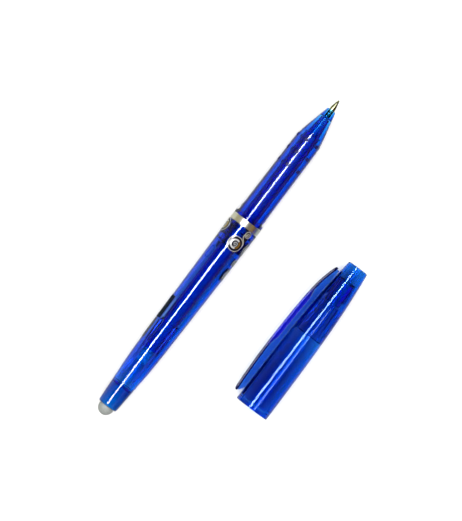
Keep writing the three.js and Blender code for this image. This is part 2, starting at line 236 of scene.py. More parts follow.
def ribbon(line, width, closed=False, lift=FOIL_LIFT, thick=FOIL):
    """Points and faces of a flat band on the barrel along a line of (station, across)."""
    points, faces = [], []
    count = len(line)
    for k, (x, y) in enumerate(line):
        before = line[(k - 1) % count] if closed or k else line[k]
        after = line[(k + 1) % count] if closed or k < count - 1 else line[k]
        dx, dy = after[0] - before[0], after[1] - before[1]
        size = math.hypot(dx, dy)
        nx, ny = -dy / size * width / 2, dx / size * width / 2
        for side, up in ((1, 0), (1, 1), (-1, 1), (-1, 0)):
            points.append(on_barrel(x + side * nx, y + side * ny, lift + up * thick))
    for k in range(count if closed else count - 1):
        a, b = 4 * k, 4 * ((k + 1) % count)
        for n in range(4):
            m = (n + 1) % 4
            faces.append((a + n, a + m, b + m, b + n))
    if not closed:
        last = 4 * (count - 1)
        faces += [(3, 2, 1, 0), (last, last + 1, last + 2, last + 3)]
    return points, faces


def patch(x, across, half_length, half_width, lift=FOIL_LIFT, thick=FOIL, power=2, rings=8):
    """Points and faces of a film patch on the barrel: an ellipse, or nearly a box at high power."""
    points, faces, count = [], [], 48
    for up in (1, 0):
        points.append(on_barrel(x, across, lift + up * thick))
        for ring in range(1, rings + 1):
            for k in range(count):
                turn = 2 * math.pi * k / count
                c, s = math.cos(turn), math.sin(turn)
                size = (abs(c) ** power + abs(s) ** power) ** (-1 / power)
                points.append(on_barrel(x + half_length * c * size * ring / rings,
                                        across + half_width * s * size * ring / rings,
                                        lift + up * thick))
    sheet = rings * count + 1
    for side, first in ((0, 0), (1, sheet)):
        for k in range(count):
            n = (k + 1) % count
            tri = (first, first + 1 + k, first + 1 + n)
            quads = [(first + 1 + (r - 1) * count + k, first + 1 + r * count + k,
                      first + 1 + r * count + n, first + 1 + (r - 1) * count + n)
                     for r in range(1, rings)]
            for face in [tri, *quads]:
                faces.append(tuple(reversed(face)) if side else face)
    rim = 1 + (rings - 1) * count
    for k in range(count):
        n = (k + 1) % count
        faces.append((rim + n, rim + k, sheet + rim + k, sheet + rim + n))
    return points, faces


def gathered(parts):
    """Several (points, faces, material index) as one list of points, faces and indices."""
    points, faces, index = [], [], []
    for some, made, material in parts:
        first = len(points)
        points += some
        faces += [tuple(first + n for n in face) for face in made]
        index += [material] * len(made)
    return points, faces, index


def dressed(thing, body, materials, nodes):
    """Gives a piece its materials and body, and hides the CAD nodes it stands for."""
    for material in materials:
        thing.data.materials.append(material)
    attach(thing, body)
    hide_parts(*nodes)


def film_object(name, parts, body, materials, nodes):
    """A film piece on the barrel from several patches and ribbons."""
    points, faces, index = gathered(parts)
    thing = new_object(name, points, faces, smooth=40)
    dressed(thing, body, materials, nodes)
    for face, material in zip(thing.data.polygons, index):
        face.material_index = material


# ---- materials ------------------------------------------------------------------------------
FINE_GRAIN = 900  # cells of noise to a metre
GRAIN_DETAIL = 4
GRAIN_DEPTH = 0.0001  # metres
MOTTLE_LOW, MOTTLE_HIGH = 0.3, 0.7  # noise between which two colours blend
DARKER = 0.9  # share of a colour's light in its darker mottles


def shader(name):
    """A new material with its Principled shader, ready for settings."""
    material = bpy.data.materials.new(name)
    material.use_nodes = True
    nodes = material.node_tree.nodes
    return material, nodes, material.node_tree.links, nodes["Principled BSDF"]


def grain(nodes, links, principled, scale, low, high, bump, socket="Roughness"):
    """Varies a socket from low to high with fine noise, and adds a slight bump of it."""
    place = nodes.new("ShaderNodeTexCoord")
    noise = nodes.new("ShaderNodeTexNoise")
    noise.inputs["Scale"].default_value = scale
    noise.inputs["Detail"].default_value = GRAIN_DETAIL
    links.new(place.outputs["Object"], noise.inputs["Vector"])
    spread = nodes.new("ShaderNodeMapRange")
    spread.inputs["To Min"].default_value = low
    spread.inputs["To Max"].default_value = high
    links.new(noise.outputs["Fac"], spread.inputs["Value"])
    links.new(spread.outputs["Result"], principled.inputs[socket])
    if bump:
        push = nodes.new("ShaderNodeBump")
        push.inputs["Strength"].default_value = bump
        push.inputs["Distance"].default_value = GRAIN_DEPTH
        links.new(noise.outputs["Fac"], push.inputs["Height"])
        links.new(push.outputs["Normal"], principled.inputs["Normal"])
    return noise


def clear_plastic(name, colour, density, coat=0.03, skin=(0.05, 0.2), ior=1.49,
                  glint=(1, 1, 1)):
    """Moulded see-through plastic whose colour deepens with density and with the depth crossed.

    The body is clear, and the moulded skin over it has its own, slightly uneven, gloss.
    """
    material, nodes, links, principled = shader(name)
    principled.inputs["Base Color"].default_value = (1, 1, 1, 1)
    principled.inputs["Transmission Weight"].default_value = 1.0
    principled.inputs["Roughness"].default_value = 0.0
    principled.inputs["IOR"].default_value = ior
    principled.inputs["Specular Tint"].default_value = (*glint, 1)
    principled.inputs["Coat Roughness"].default_value = coat
    grain(nodes, links, principled, FINE_GRAIN, *skin, 0.002, "Coat Weight")
    volume = nodes.new("ShaderNodeVolumeAbsorption")
    volume.inputs["Color"].default_value = (*colour, 1)
    volume.inputs["Density"].default_value = density
    links.new(volume.outputs["Volume"], nodes["Material Output"].inputs["Volume"])
    return material


def frosted(material, start, end):
    """Keeps a pen piece's skin between two stations only, fading out over a millimetre."""
    nodes, links = material.node_tree.nodes, material.node_tree.links
    principled = nodes["Principled BSDF"]
    total = principled.inputs["Coat Weight"].links[0].from_socket
    place = nodes.new("ShaderNodeTexCoord")
    split = nodes.new("ShaderNodeSeparateXYZ")
    links.new(place.outputs["Object"], split.inputs["Vector"])
    for station, before, after in ((start, 0.0, 1.0), (end, 1.0, 0.0)):
        step = nodes.new("ShaderNodeMapRange")
        step.inputs["From Min"].default_value = PEN.x + (station - 0.5) * MM
        step.inputs["From Max"].default_value = PEN.x + (station + 0.5) * MM
        step.inputs["To Min"].default_value = before
        step.inputs["To Max"].default_value = after
        links.new(split.outputs["X"], step.inputs["Value"])
        share = nodes.new("ShaderNodeMath")
        share.operation = "MULTIPLY"
        links.new(total, share.inputs[0])
        links.new(step.outputs["Result"], share.inputs[1])
        total = share.outputs["Value"]
    links.new(total, principled.inputs["Coat Weight"])


def solid(name, colour, rough, scale=FINE_GRAIN, bump=0.05, metallic=0.0, second=None,
          specular=0.5):
    """A solid finish, mottled between two colours by noise, with its own roughness range."""
    material, nodes, links, principled = shader(name)
    principled.inputs["Metallic"].default_value = metallic
    principled.inputs["Specular IOR Level"].default_value = specular
    noise = grain(nodes, links, principled, scale, *rough, bump)
    ramp = nodes.new("ShaderNodeValToRGB")
    stops = ramp.color_ramp.elements
    stops[0].position = MOTTLE_LOW
    stops[1].position = MOTTLE_HIGH
    stops[0].color = (*colour, 1)
    stops[1].color = (*(second or [c * DARKER for c in colour]), 1)
    links.new(noise.outputs["Fac"], ramp.inputs["Fac"])
    links.new(ramp.outputs["Color"], principled.inputs["Base Color"])
    return material


def graded(name, stops, rough, sway_size=0.06, specular=0.15):
    """A glossy opaque surface whose colour changes along the cap, from stops of (station, colour):
    painted shade.

    Noise moves each change of colour a little, by up to sway_size of the cap's length.
    """
    material, nodes, links, principled = shader(name)
    principled.inputs["Specular IOR Level"].default_value = specular
    noise = grain(nodes, links, principled, FINE_GRAIN, *rough, 0.02)
    place = nodes.new("ShaderNodeTexCoord")
    split = nodes.new("ShaderNodeSeparateXYZ")
    links.new(place.outputs["Object"], split.inputs["Vector"])
    spread = nodes.new("ShaderNodeMapRange")
    spread.inputs["From Min"].default_value = CAP.x
    spread.inputs["From Max"].default_value = CAP.x + CAP_LENGTH * MM
    links.new(split.outputs["X"], spread.inputs["Value"])
    sway = nodes.new("ShaderNodeMath")
    sway.operation = "MULTIPLY_ADD"
    sway.inputs[1].default_value = sway_size
    links.new(noise.outputs["Fac"], sway.inputs[0])
    links.new(spread.outputs["Result"], sway.inputs[2])
    ramp = nodes.new("ShaderNodeValToRGB")
    found = ramp.color_ramp.elements
    for k, (station, colour) in enumerate(stops):
        where = station / CAP_LENGTH + sway_size / 2
        stop = found[k] if k < 2 else found.new(where)
        stop.position, stop.color = where, (*colour, 1)
    links.new(sway.outputs["Value"], ramp.inputs["Fac"])
    links.new(ramp.outputs["Color"], principled.inputs["Base Color"])
    return material


BLUE = (0.0, 0.66, 0.93)
DEPTH = 3000  # per metre of plastic crossed
barrel_plastic = clear_plastic("barrel_plastic", BLUE, DEPTH)
grip_plastic = clear_plastic("grip_plastic", BLUE, density=2100, coat=0.26, skin=(0.2, 0.3))
frosted(grip_plastic, start=86.8, end=118.0)
cap_plastic = clear_plastic("cap_plastic", (0.0, 0.6, 0.9), DEPTH, skin=(0.02, 0.1),
                            glint=(0.4, 0.6, 0.95))
clip_plastic = clear_plastic("clip_plastic", (0.02, 0.52, 0.9), density=2600)
# The clip plate is painted: near black at both ends and deep blue in the middle, painted shade for
# the light that the clear plate lets through edge-on.
plate_painted_shade = graded("plate_painted_shade", [
    (2, (0.001, 0.002, 0.05)), (20, (0.001, 0.002, 0.07)), (25, (0.002, 0.004, 0.4)),
    (41, (0.002, 0.004, 0.36)), (46, (0.001, 0.002, 0.06)), (56, (0.001, 0.002, 0.04))],
    rough=(0.1, 0.2))
plug_plastic = solid("plug_plastic", (0.002, 0.2, 0.44), rough=(0.2, 0.35),
                     second=(0.002, 0.17, 0.38), specular=0.1)
liner_plastic = clear_plastic("liner_plastic", (0.0, 0.15, 0.95), density=1300)
lip_plastic = clear_plastic("lip_plastic", (0.0, 0.25, 0.88), density=1700)
tube_plastic = clear_plastic("tube_plastic", (0.7, 0.85, 1.0), density=40, ior=1.15)
navy_plastic = solid("navy_plastic", (0.001, 0.004, 0.26), rough=(0.15, 0.3))
ink = solid("ink", (0.001, 0.002, 0.38), rough=(0.2, 0.3), scale=300, second=(0.0005, 0.001, 0.33),
            specular=0.1)
grease = solid("grease", (0.3, 0.45, 0.5), rough=(0.2, 0.35), scale=400)
stopper_plastic = solid("stopper_plastic", (0.5, 0.56, 0.6), rough=(0.2, 0.35), scale=400)
# Painted shade: the grip's clear domes are coloured dark navy so that they break the highlight as
# dark spots.
dot_painted_shade = solid("dot_painted_shade", (0.001, 0.002, 0.09), rough=(0.45, 0.6), specular=0.25)
blue_plastic = solid("blue_plastic", (0.002, 0.022, 0.28), rough=(0.25, 0.4), specular=0.15)
rubber = solid("rubber", (0.26, 0.28, 0.27), rough=(0.5, 0.75), scale=1500, bump=0.25,
               second=(0.215, 0.232, 0.226))
bright_metal = solid("bright_metal", (0.9, 0.87, 0.8), rough=(0.26, 0.32), scale=2000, bump=0.02,
                     metallic=1.0, second=(0.85, 0.8, 0.7))
point_metal = solid("point_metal", (0.42, 0.43, 0.28), rough=(0.15, 0.28), scale=2500, bump=0.05,
                    metallic=1.0, second=(0.34, 0.34, 0.2))
# Painted shade: the point's metal where the nose covers it, coloured near black.
shank_painted_shade = solid("shank_painted_shade", (0.05, 0.06, 0.035), rough=(0.15, 0.28), scale=2500, bump=0.05,
                    metallic=1.0)
ball_metal = solid("ball_metal", (0.4, 0.4, 0.42), rough=(0.05, 0.12), scale=4000, metallic=1.0)
foil_bright = solid("foil_bright", (0.85, 0.86, 0.87), rough=(0.1, 0.25), scale=1500, metallic=0.6,
                    second=(0.75, 0.75, 0.75))
foil_dark = solid("foil_dark", (0.004, 0.004, 0.012), rough=(0.1, 0.25), scale=700)
foil_gold = solid("foil_gold", (0.8, 0.6, 0.3), rough=(0.1, 0.25), scale=1500, metallic=1.0,
                  second=(0.6, 0.42, 0.18))
film_dark = solid("film_dark", (0.003, 0.008, 0.02), rough=(0.6, 0.8), specular=0.05)
film_mark = solid("film_mark", (0.2, 0.36, 0.7), rough=(0.4, 0.6), specular=0.2)
film_blue = solid("film_blue", (0.001, 0.012, 0.2), rough=(0.4, 0.6), specular=0.1)


# ---- the pen --------------------------------------------------------------------------------
def ridge(x, angle):
    """Share of the thread's height at a place on its right-handed helix."""
    phase = (x - THREAD_REAR) / THREAD_PITCH + (angle + THREAD_START) / 360
    return max(0.0, math.cos(2 * math.pi * phase)) ** THREAD_SHARPNESS


def make_barrel():
    """The clear tube, with guide ribs inside its rear part and the thread inside its front."""
    guides, guide_width = 4, 0.8
    guide_rear, guide_front = 12.9, 39.1
    rear_slope, front_slope = 4.0, 1.5
    apart = 360 / guides
    groove_r, front_bevel = SEAL_R - 0.03, 0.12

    def shape(x, radius, angle):
        """Raises the guide ribs and cuts the thread, on the inside only."""
        if radius > radius_at(BARREL_LINE, x) - OUTER_SKIN:
            return radius
        if guide_rear < x < guide_front:
            off = angle % apart - apart / 2
            if abs(math.radians(off) * radius) < guide_width / 2:
                start = min(1.0, (x - guide_rear) / rear_slope)
                stop = min(1.0, (guide_front - x) / front_slope)
                return radius - (radius - TAIL_BORE_R) * min(start, stop)
        if x > SPIGOT_REAR:
            return radius + BARREL_THREAD * ridge(x, angle)
        return radius

    outer = [(BARREL_REAR, 3.2)]
    outer += bezier((BARREL_REAR, 3.25), (BARREL_REAR + 0.2, 3.52), (4.1, 3.6), 5)
    outer += BARREL_LINE[1:-1]
    outer += [(BARREL_FRONT - front_bevel, BARREL_R), (BARREL_FRONT, BARREL_R - front_bevel)]
    bore = [(BARREL_REAR, TAIL_BORE_R), (SEAL_REAR - 0.1, TAIL_BORE_R),
            (SEAL_REAR - 0.05, groove_r), (SEAL_FRONT + 0.05, groove_r),
            (SEAL_FRONT + 0.1, TAIL_BORE_R), (12.6, TAIL_BORE_R)]
    bore += stepped((12.8, 3.3), (16.9, 3.45), 0.4)
    bore += stepped((17.0, 3.45), (37.0, 4.02), 2.0)
    bore += stepped((37.4, 4.03), (39.2, 4.06), 0.3)
    bore += stepped((40.0, 4.08), (69.6, SCREW_BORE_R), 4.0)
    bore += stepped((70.0, SCREW_BORE_R), (BARREL_FRONT, SCREW_BORE_R), THREAD_STEP)
    thing = turned("barrel_shell", PEN, outer + bore[::-1], shape)
    dressed(thing, "barrel", [barrel_plastic], ["barrel"])


def make_tail():
    """The blue cup that plugs the barrel's rear end, and its dark sealing ring."""
    rear, floor, front = 3.7, 9.4, 12.3
    cup_r, wall_r, seal_inner = 2.4, TAIL_BORE_R + CONTACT, 3.2
    cup = turned("tail_plug_cup", PEN, eased([
        (floor, 0.0), (floor, cup_r), (rear, cup_r), (rear, wall_r), (front, wall_r),
        (front, 0.0)]), around=PLAIN_AROUND)
    dressed(cup, "barrel", [plug_plastic], ["tail_plug"])
    seal = turned("tail_plug_seal", PEN, eased([
        (SEAL_REAR, seal_inner), (SEAL_REAR, SEAL_R), (SEAL_FRONT, SEAL_R),
        (SEAL_FRONT, seal_inner)], radius=0.1), around=PLAIN_AROUND)
    dressed(seal, "barrel", [navy_plastic], ["tail_plug"])


def make_eraser():
    """A domed rubber tip on a slightly tapered stem in the tail plug."""
    dome_length, dome_r, dome_steps = 2.9, 2.75, 16
    stem_end, stem_end_r = 9.2, 2.2
    turns = [math.pi / 2 * k / dome_steps for k in range(dome_steps + 1)]
    dome = [(dome_length - dome_length * math.cos(t), dome_r * math.sin(t)) for t in turns]
    outline = dome + eased([(3.25, dome_r), (3.3, 2.3), (stem_end, stem_end_r), (stem_end, 0.0)])
    thing = turned("eraser_tip", PEN, outline, around=PLAIN_AROUND)
    dressed(thing, "barrel", [rubber], ["eraser"])


def make_ring():
    """The bright ring between the barrel and the collar."""
    gap, inner = 0.1, 4.3
    rear, front = BARREL_FRONT + gap, RING_FRONT - gap
    outline = eased([(rear, inner), (rear, RING_R), (front, RING_R), (front, inner)],
                    radius=0.2, steps=5)
    thing = turned("bright_ring", PEN, outline)
    dressed(thing, "ring", [bright_metal], ["trim_ring"])


def make_section():
    """The clear grip: threaded spigot, collar, snap ridge, tapering grip and nose."""
    thread_height, spigot_bore = 0.4, 3.6
    collar_r, neck_r, snap_r = RING_R - 0.02, 4.88, 4.97
    grip_rear, grip_r, grip_taper = 99.2, 4.76, 0.0059
    grip_start, grip_step, grip_steps = 104.0, 0.17, 50
    nose_front = 129.0
    thread_steps = round(THREAD_LENGTH / THREAD_STEP)

    def shape(x, radius, angle):
        """Raises the thread on the outside of the spigot."""
        if THREAD_REAR < x < THREAD_REAR + THREAD_LENGTH and radius > spigot_bore:
            return radius + thread_height * ridge(x, angle)
        return radius

    front = eased([(SPIGOT_REAR, 3.4), (SPIGOT_REAR, SPIGOT_R), (THREAD_REAR, SPIGOT_R)])
    front += [(THREAD_REAR + THREAD_STEP * k, SPIGOT_R) for k in range(1, thread_steps + 1)]
    front += eased([(78.5, SPIGOT_R), (RING_FRONT, SPIGOT_R), (RING_FRONT, collar_r),
                    (COLLAR_FRONT, collar_r), (COLLAR_FRONT, 5.0), (83.6, neck_r),
                    (84.7, neck_r), (85.1, snap_r), (85.7, snap_r), (86.3, 4.85),
                    (grip_rear, grip_r)])
    for k in range(grip_steps + 1):
        x = grip_start + grip_step * k
        front.append((x, grip_r - grip_taper * (x - grip_rear)))
    front += bezier((112.7, 4.68), (115.9, 4.63), (118.6, 4.05), 36)[1:]
    front += eased([(119.5, 3.835), (nose_front, 1.56), (nose_front, POINT_R + 0.1)], radius=0.2)
    bore = eased([(nose_front, 1.06), (126.0, 1.06), (125.6, 1.75), (118.9, 2.62),
                  (117.6, 3.03), (SPIGOT_REAR, 3.05)])
    thing = turned("front_grip", PEN, front + bore, shape)
    dressed(thing, "section", [grip_plastic], ["front_section"])


def make_dots():
    """Six rows of three domes on the grip, dark navy and rough: painted shade for clear domes that
    catch no highlight.
    """
    stations, rows, first_row = (105.3, 110.5, 115.8), 6, -12
    size, height, root, rings, count = 0.72, 0.2, 0.15, 5, 20
    taper_rear, taper_front, taper = 103, 113, 0.006
    taper_r, shoulder_r = 4.74, 4.58  # of the grip's surface at taper_rear and past taper_front
    points, faces = [], []
    for station in stations:
        surface = shoulder_r
        if station < taper_front:
            surface = taper_r - taper * (station - taper_rear)
        for row in range(rows):
            middle = first_row + 360 / rows * row
            first = len(points)
            for ring in range(rings + 1):
                tilt = math.pi / 2 * ring / rings
                reach, rise = size * math.sin(tilt), height * math.cos(tilt)
                for k in range(1 if ring == 0 else count):
                    turn = 2 * math.pi * k / count
                    angle = math.degrees(reach * math.sin(turn) / surface) + middle
                    points.append(round_point(PEN, station + reach * math.cos(turn),
                                              surface + rise, angle))
            points.append(round_point(PEN, station, surface - root, middle))
            base = len(points) - 1
            rim = first + 1 + (rings - 1) * count
            for k in range(count):
                n = (k + 1) % count
                faces.append((first, first + 1 + k, first + 1 + n))
                faces.append((base, rim + n, rim + k))
                for ring in range(1, rings):
                    a = first + 1 + (ring - 1) * count
                    faces.append((a + k, a + count + k, a + count + n, a + n))
    thing = new_object("grip_dots", points, faces)
    dressed(thing, "section", [dot_painted_shade], ["front_section"])


def make_refill():
    """The clear refill tube with its vented stopper, the grease behind the ink, and the ink."""
    tube_rear, tube_front, bore_r = 24.0, 118.4, INK_R - CONTACT
    tube = turned("refill_body", PEN, eased([
        (tube_rear, bore_r), (tube_rear, REFILL_R), (tube_front, REFILL_R),
        (tube_front, bore_r)]), around=PLAIN_AROUND)
    dressed(tube, "section", [tube_plastic], ["refill_tube"])
    vent_r, plug_rear, plug_shoulder, plug_front = 0.5, 21.9, 23.95, 26.3
    plug = turned("refill_stopper", PEN, eased([
        (plug_rear, vent_r), (plug_rear, 1.5), (22.4, 2.4), (23.3, 2.9),
        (plug_shoulder, REFILL_R), (plug_shoulder, 2.4), (plug_front, 2.2),
        (plug_front, vent_r)]), around=INNER_AROUND)
    dressed(plug, "section", [stopper_plastic], ["refill_plug"])
    grease_front, ink_rear, ink_front = 27.2, 27.25, 118.3
    follower = turned("grease_plug", PEN, [
        (26.5, 0), (26.4, 2.6), (26.6, INK_R), (grease_front, INK_R), (grease_front, 0)],
        around=INNER_AROUND)
    dressed(follower, "section", [grease], ["ink_follower"])
    column = turned("ink_fill", PEN, [
        (ink_rear, 0), (ink_rear, INK_R), (ink_front, INK_R), (ink_front, 0)],
        around=INNER_AROUND)
    dressed(column, "section", [ink], ["ink_column"])


def make_holder():
    """The fluted cone that carries the metal point."""
    rear, front = 118.35, 125.4
    flutes, flute_depth, flute_rear, flute_front = 8, 0.12, 119, 125

    def fluted(x, radius, angle):
        """Cuts the flutes into the long cone."""
        deep = flute_depth * math.cos(math.radians(angle * flutes)) ** 2
        return radius - deep if flute_rear < x < flute_front else radius

    cone = [(119.1 + 0.3 * k, 2.35 - 0.036 * k) for k in range(20)]
    outline = [(rear, 0), (rear, 2.46), (118.6, 2.42), *cone, (125.2, 1.64), (front, 1.5),
               (front, 0)]
    thing = turned("point_holder", PEN, outline, fluted)
    dressed(thing, "section", [blue_plastic], ["tip_holder"])


def make_point():
    """The turned metal point, with painted shade (near black) where the nose covers it, and the
    ball in its mouth.
    """
    rear, shank_front, mouth, seat_r = 121.2, 128.6, 133.02, 0.28
    outline = [(rear, 0.0), (rear, POINT_R)]
    outline += eased([(125.8, POINT_R), (shank_front, POINT_R), (129.9, POINT_R), (130.3, 0.94),
                      (132.82, 0.38), (mouth, 0.31), (mouth, BALL_R - 0.015)], radius=0.15)
    outline += [(132.95, seat_r), (132.7, seat_r), (132.6, 0.0)]
    point = turned("metal_point", PEN, outline, around=PLAIN_AROUND)
    dressed(point, "section", [point_metal, shank_painted_shade], ["pen_point"])
    # Faces behind shank_front get the painted shade.
    for face in point.data.polygons:
        face.material_index = 1 if face.center.x < PEN.x + shank_front * MM else 0
    steps = 24
    outline = [(BALL_CENTRE - BALL_R * math.cos(math.pi * k / steps),
                BALL_R * math.sin(math.pi * k / steps)) for k in range(steps + 1)]
    outline[0], outline[-1] = (outline[0][0], 0.0), (outline[-1][0], 0.0)
    ball = turned("tip_ball", PEN, outline, around=2 * steps)
    dressed(ball, "ball", [ball_metal], ["writing_ball"])


# ---- film and foil on the barrel ------------------------------------------------------------
def spiral(x, across, inner, outer, turns, start):
    """The line of a plain spiral on the barrel, from its middle outwards."""
    count = int(turns * SPIRAL_STEPS)
    line = []
    for k in range(count + 1):
        share = k / count
        angle = math.radians(start) + 2 * math.pi * turns * share
        radius = inner + (outer - inner) * share
        line.append((x + radius * math.cos(angle), across + radius * math.sin(angle)))
    return line


def circle(x, across, radius):
    """The line of a circle on the barrel."""
    turns = [math.radians(degrees) for degrees in range(0, 360, ARC_STEP)]
    return [(x + radius * math.cos(t), across + radius * math.sin(t)) for t in turns]


def arc(x, across, radius, start, end):
    """The line of part of a circle on the barrel, between two angles in degrees."""
    count = max(2, round(abs(end - start) / ARC_STEP))
    turns = [math.radians(start + (end - start) * k / count) for k in range(count + 1)]
    return [(x + radius * math.cos(t), across + radius * math.sin(t)) for t in turns]


def make_foils():
    """Plain ringed spirals in silver foil on dark discs, with one linking line."""
    bright, dark, gold = 0, 1, 2
    disc, foil = 0.03, 0.02  # thicknesses
    top = FOIL_LIFT + disc
    spiral_inner, start_turn, smallest_banded = 0.1, 40, 1.9
    # station, degrees round the barrel, radius
    swirls = [(73.2, 14, 2.75), (78.1, 34, 1.2), (76.7, -74, 2.6), (73.6, 84, 2.6),
              (67.7, 73, 1.6), (62.7, 86, 2.6), (74.0, 148, 2.0), (70.5, -135, 2.0)]

    def laid(line, width, material, closed=False):
        """A strip of foil on top of the disc."""
        return (*ribbon(line, width, closed, lift=top, thick=foil), material)

    for k, (x, degrees, size) in enumerate(swirls, 1):
        across = math.radians(degrees) * radius_at(BARREL_LINE, x)
        parts = [(*patch(x, across, size * 0.97, size * 0.97, thick=disc), dark),
                 laid(circle(x, across, size - 0.1), 0.18, bright, closed=True)]
        if size > smallest_banded:
            band, width = size * 0.54, size * 0.2
            curl = spiral(x, across, spiral_inner, size * 0.34, 1.4, start_turn * k)
            parts.append(laid(arc(x, across, band, 150, 390), width, bright))
            parts.append(laid(arc(x, across, band, 30, 150), width, gold))
            parts.append(laid(curl, 0.2, bright))
        else:
            curl = spiral(x, across, spiral_inner, size * 0.6, 1.5, start_turn * k)
            parts.append(laid(curl, 0.16, bright))
        film_object(f"foil_swirl_{k}", parts, "barrel",
                    [foil_bright, foil_dark, foil_gold], [f"foil_spiral_{k}"])
    link = spline([(73.4, 4.05), (74.6, 3.9), (75.7, 3.0), (76.6, 2.25), (77.6, 2.15)], 24)
    parts = [(*patch(76.0, 3.5, 1.5, 0.75, thick=disc, lift=0.01), dark), laid(link, 0.2, bright)]
    film_object("foil_link", parts, "barrel", [foil_bright, foil_dark],
                ["foil_spiral_1"])


def make_label():
    """A film round the side of the barrel with a row of dark bars, and a capsule outline."""
    dark, mark, blue = 0, 1, 2
    edge = math.radians(LABEL_SIDE) * radius_at(BARREL_LINE, LABEL_MIDDLE)
    border_across = -3.62
    border = [(38.4, border_across), (42.0, border_across), (46.2, border_across)]
    parts = [(*patch(33.4, edge - 1.1, 4.1, 1.3, power=8), blue),
             (*patch(42.3, edge + 0.85, 4.6, 2.4, power=10), dark),
             (*ribbon(border, 0.14), mark)]
    bars, first_bar, bar_step, widths = 15, 29.8, 0.52, (0.16, 0.1, 0.22)
    for k in range(bars):
        x = first_bar + bar_step * k
        line = [(x, edge - 1.4), (x, edge), (x, edge + 0.9)]
        bar = ribbon(line, widths[k % len(widths)], lift=FOIL_LIFT + FOIL, thick=0.01)
        parts.append((*bar, dark))
    film_object("label_patch", parts, "barrel", [film_dark, film_mark, film_blue],
                ["label_film"])
    across, end_r = -4.4, 0.85
    outline = arc(64.7, across, end_r, 90, 270) + arc(67.6, across, end_r, -90, 90)
    film_object("outline_mark", [(*ribbon(outline, 0.16, closed=True), 0)], "barrel",
                [film_blue], ["label_film"])


# ---- the cap --------------------------------------------------------------------------------
def make_cap():
    """The clear cap: a grooved mouth, six ribs in its narrow part, and an open far end."""
    ribs, first_rib, rib_width = 6, 11, 0.8
    rib_rear, rib_bend, rib_front = 31.4, 36, 44.3
    half_apart = 180 / ribs
    bore_r, groove_r = 5.15, 5.27

    rear_r, bend_r, front_r = 4.72, 4.15, 3.5  # of the ribs' inner edges

    def rib_reach(x):
        """Radius of the ribs' inner edges."""
        if x < rib_bend:
            return rear_r + (bend_r - rear_r) * (x - 31.5) / 4.5
        return bend_r + (front_r - bend_r) * (x - rib_bend) / 8.2

    def shape(x, radius, angle):
        """Raises the ribs on the inside only."""
        if rib_rear < x < rib_front and radius < radius_at(CAP_LINE, x) - OUTER_SKIN:
            off = (angle - first_rib + half_apart) % (2 * half_apart) - half_apart
            if abs(math.radians(off) * radius) < rib_width / 2:
                return min(radius, rib_reach(x))
        return radius

    outer = bezier((0.0, 6.0), (0.0, 6.25), (0.3, 6.255), 4) + CAP_LINE[1:]
    outer += bezier((CAP_LENGTH - 0.45, 3.84), (CAP_LENGTH - 0.05, 3.78), (CAP_LENGTH, 3.5), 5)
    bore = [(CAP_LENGTH, 3.2), (CAP_LENGTH - 0.15, 3.1), (54.7, 3.45), (54.4, 3.5)]
    bore += [(44.3 + 0.39 * k, 4.2 - 0.027 * k) for k in range(25, -1, -1)]
    bore += [(31.9 + 0.3 * k, 4.8 - 0.0145 * k) for k in range(41, -1, -1)]
    bore += eased([(31.6, 4.85), (31.4, bore_r), (2.9, bore_r), (2.6, groove_r),
                   (1.8, groove_r), (1.5, bore_r), (0.2, bore_r), (0.0, 5.35)], radius=0.15)
    thing = turned("cap_body", CAP, outer + bore, shape)
    dressed(thing, "cap", [cap_plastic], ["cap_shell"])


def make_liner():
    """The inner cap: a lip, a sleeve and a closed end, with hairline gaps between them."""
    lip_rear, lip_front, sleeve_rear, sleeve_front = 44.9, 46.87, 46.9, 53.2
    end_rear, end_front, lip_inner, sleeve_inner = 53.23, 54.1, 2.0, 1.9
    pieces = [
        ("cap_liner", liner_plastic, eased([
            (sleeve_rear, sleeve_inner), (sleeve_rear, 3.75), (sleeve_front, 3.4),
            (sleeve_front, sleeve_inner)])),
        ("cap_liner_lip", lip_plastic, eased([
            (lip_rear, lip_inner), (lip_rear, 2.9), (lip_front, 2.9), (lip_front, lip_inner)])),
        ("cap_liner_end", lip_plastic, [
            (end_rear, 0.0), (end_rear, 3.3), (end_front, 3.3), (end_front, 0.0)])]
    for name, plastic, outline in pieces:
        thing = turned(name, CAP, outline, around=PLAIN_AROUND)
        dressed(thing, "cap", [plastic], ["inner_cap"])


def lofted(name, place, stations, section):
    """A closed solid along X through the sections (offset in Y, offset in Z) at its stations."""
    points, faces, rings = [], [], []
    for x in stations:
        ring = []
        for y, z in section(x):
            ring.append(len(points))
            points.append(place + Vector((x, y, z)) * MM)
        rings.append(ring)
    count = len(rings[0])
    for a, b in zip(rings, rings[1:]):
        for k in range(count):
            n = (k + 1) % count
            faces.append((a[k], a[n], b[n], b[k]))
    faces += [tuple(reversed(rings[0])), tuple(rings[-1])]
    return new_object(name, points, faces)


